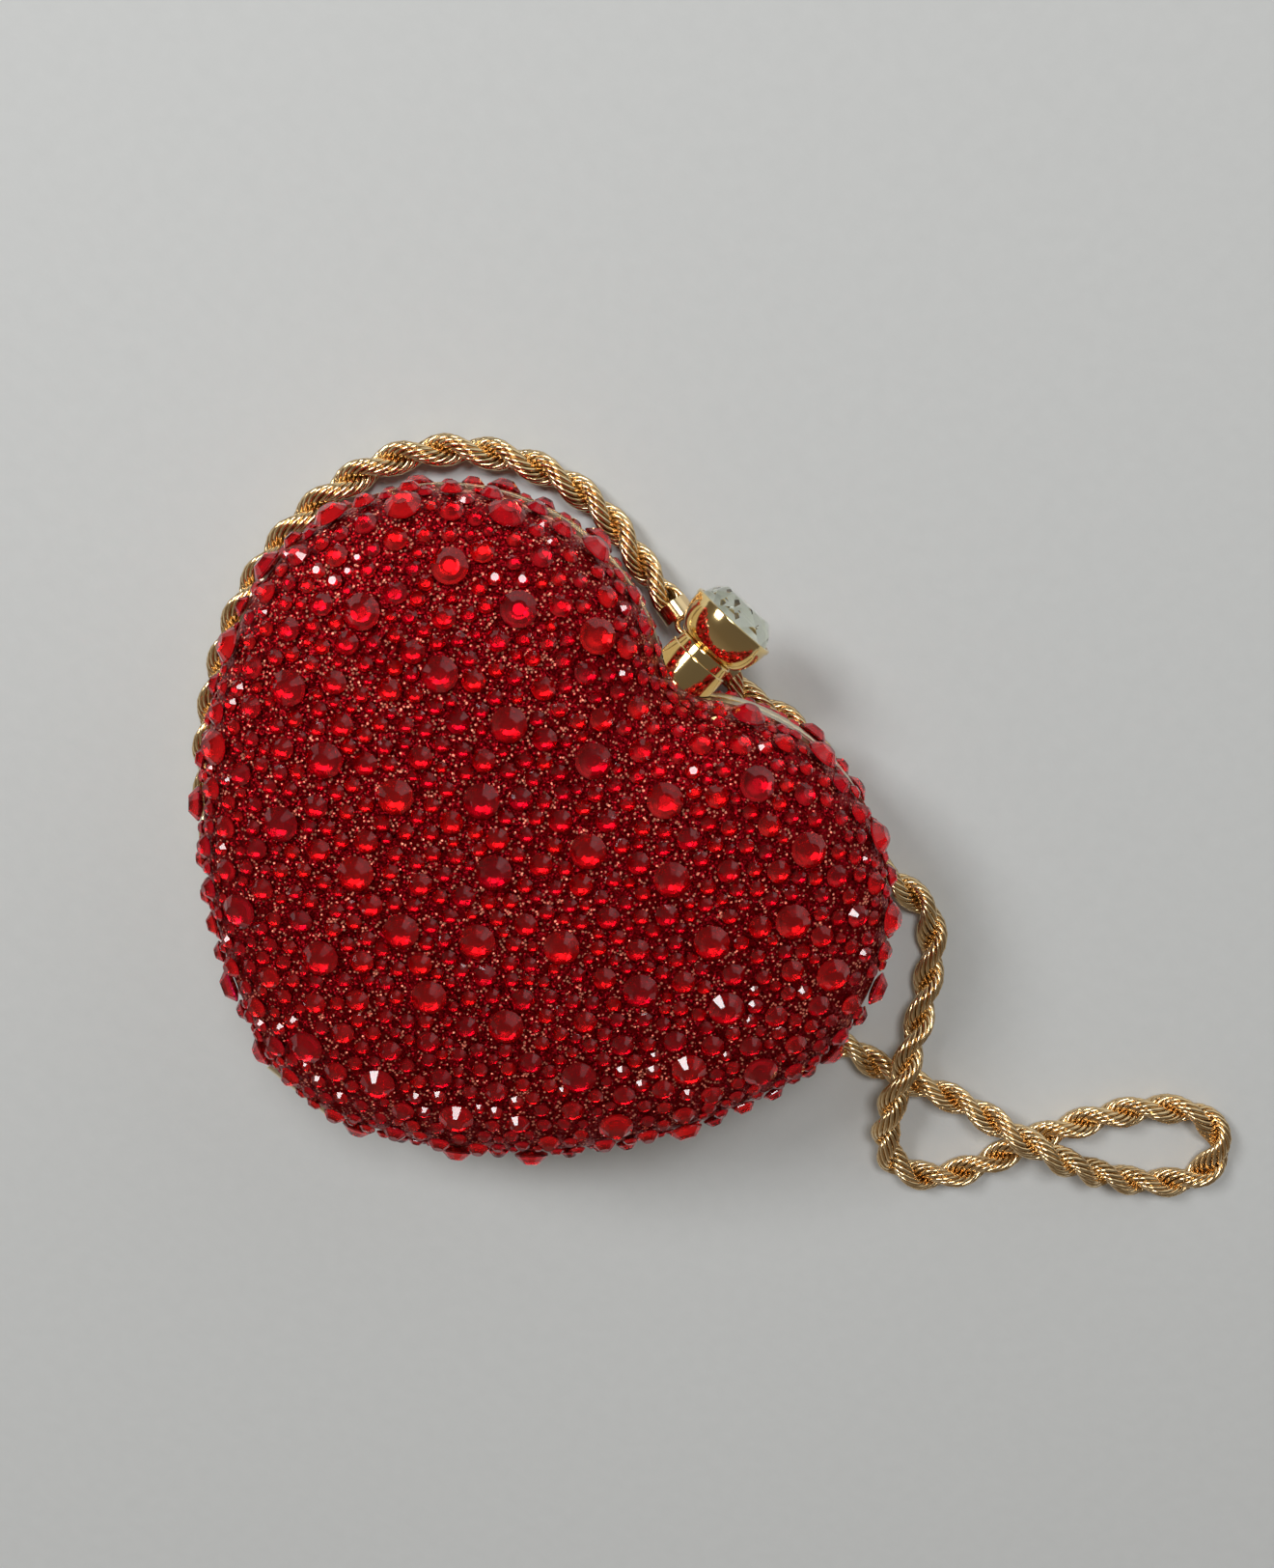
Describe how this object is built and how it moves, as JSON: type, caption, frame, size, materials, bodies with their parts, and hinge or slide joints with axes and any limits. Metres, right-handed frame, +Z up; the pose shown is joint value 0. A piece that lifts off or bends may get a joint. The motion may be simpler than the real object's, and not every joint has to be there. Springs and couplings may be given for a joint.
{
  "type": "heart shaped clutch purse",
  "caption": "Hard heart shaped clutch purse with domed crystal-set halves, a metal rim, a tip hinge, a crystal push-knob clasp and a rope chain",
  "frame": {"origin": "floor point under the middle of the purse's box, the purse lying on the crystals of its back shell", "axes": "X across the two lobes, Y from the hinge at the tip to the clasp in the notch, Z up out of the front half"},
  "size_m": [0.2574, 0.1409, 0.0518],
  "materials": {
    "gold_metal": "polished pale gold plating",
    "gold_chain": "bright gold-coloured wire",
    "red_shell": "red lacquer with copper glitter",
    "lining_satin": "red satin",
    "red_crystal": "faceted, foil-backed",
    "clear_crystal": "faceted, polished",
    "spring_steel": "plain steel"
  },
  "bodies": {
    "back_half": {"back_rim": "gold_metal", "back_shell": "red_shell", "back_lining": "lining_satin", "back_large_crystals": "red_crystal", "back_medium_crystals": "red_crystal", "back_small_crystals": "red_crystal", "back_rest_crystals": "red_crystal", "hinge_back_knuckles": "gold_metal", "hinge_pin": "spring_steel", "clasp_collar": "gold_metal", "clasp_bushing": "gold_metal", "collar_screws": "spring_steel", "clasp_spring": "spring_steel", "chain_eye": "gold_metal", "chain_ring": "gold_metal", "left_chain_cap": "gold_metal", "right_chain_cap": "gold_metal", "rope_chain": "gold_chain"},
    "front_half": {"front_rim": "gold_metal", "front_shell": "red_shell", "front_lining": "lining_satin", "front_large_crystals": "red_crystal", "front_medium_crystals": "red_crystal", "front_small_crystals": "red_crystal", "hinge_front_knuckle": "gold_metal", "clasp_hook": "gold_metal", "hook_rivets": "gold_metal"},
    "push_knob": {"knob_stem": "gold_metal", "knob_neck": "gold_metal", "knob_cup": "gold_metal", "knob_crystal": "clear_crystal", "latch_plate": "gold_metal", "retaining_clip": "spring_steel"}
  },
  "joints": [
    {"name": "lid_hinge", "type": "hinge", "parent": "back_half", "child": "front_half", "pos_m": [0, -0.0682, 0.0259], "axis": [1, 0, 0], "range_deg": [0, 80]},
    {"name": "knob_push", "type": "slide", "parent": "back_half", "child": "push_knob", "axis": [0, -1, 0], "range_m": [0, 0.002], "stiffness_N_per_m": 700, "springref_m": -0.003, "deforming": ["clasp_spring"]}
  ]
}
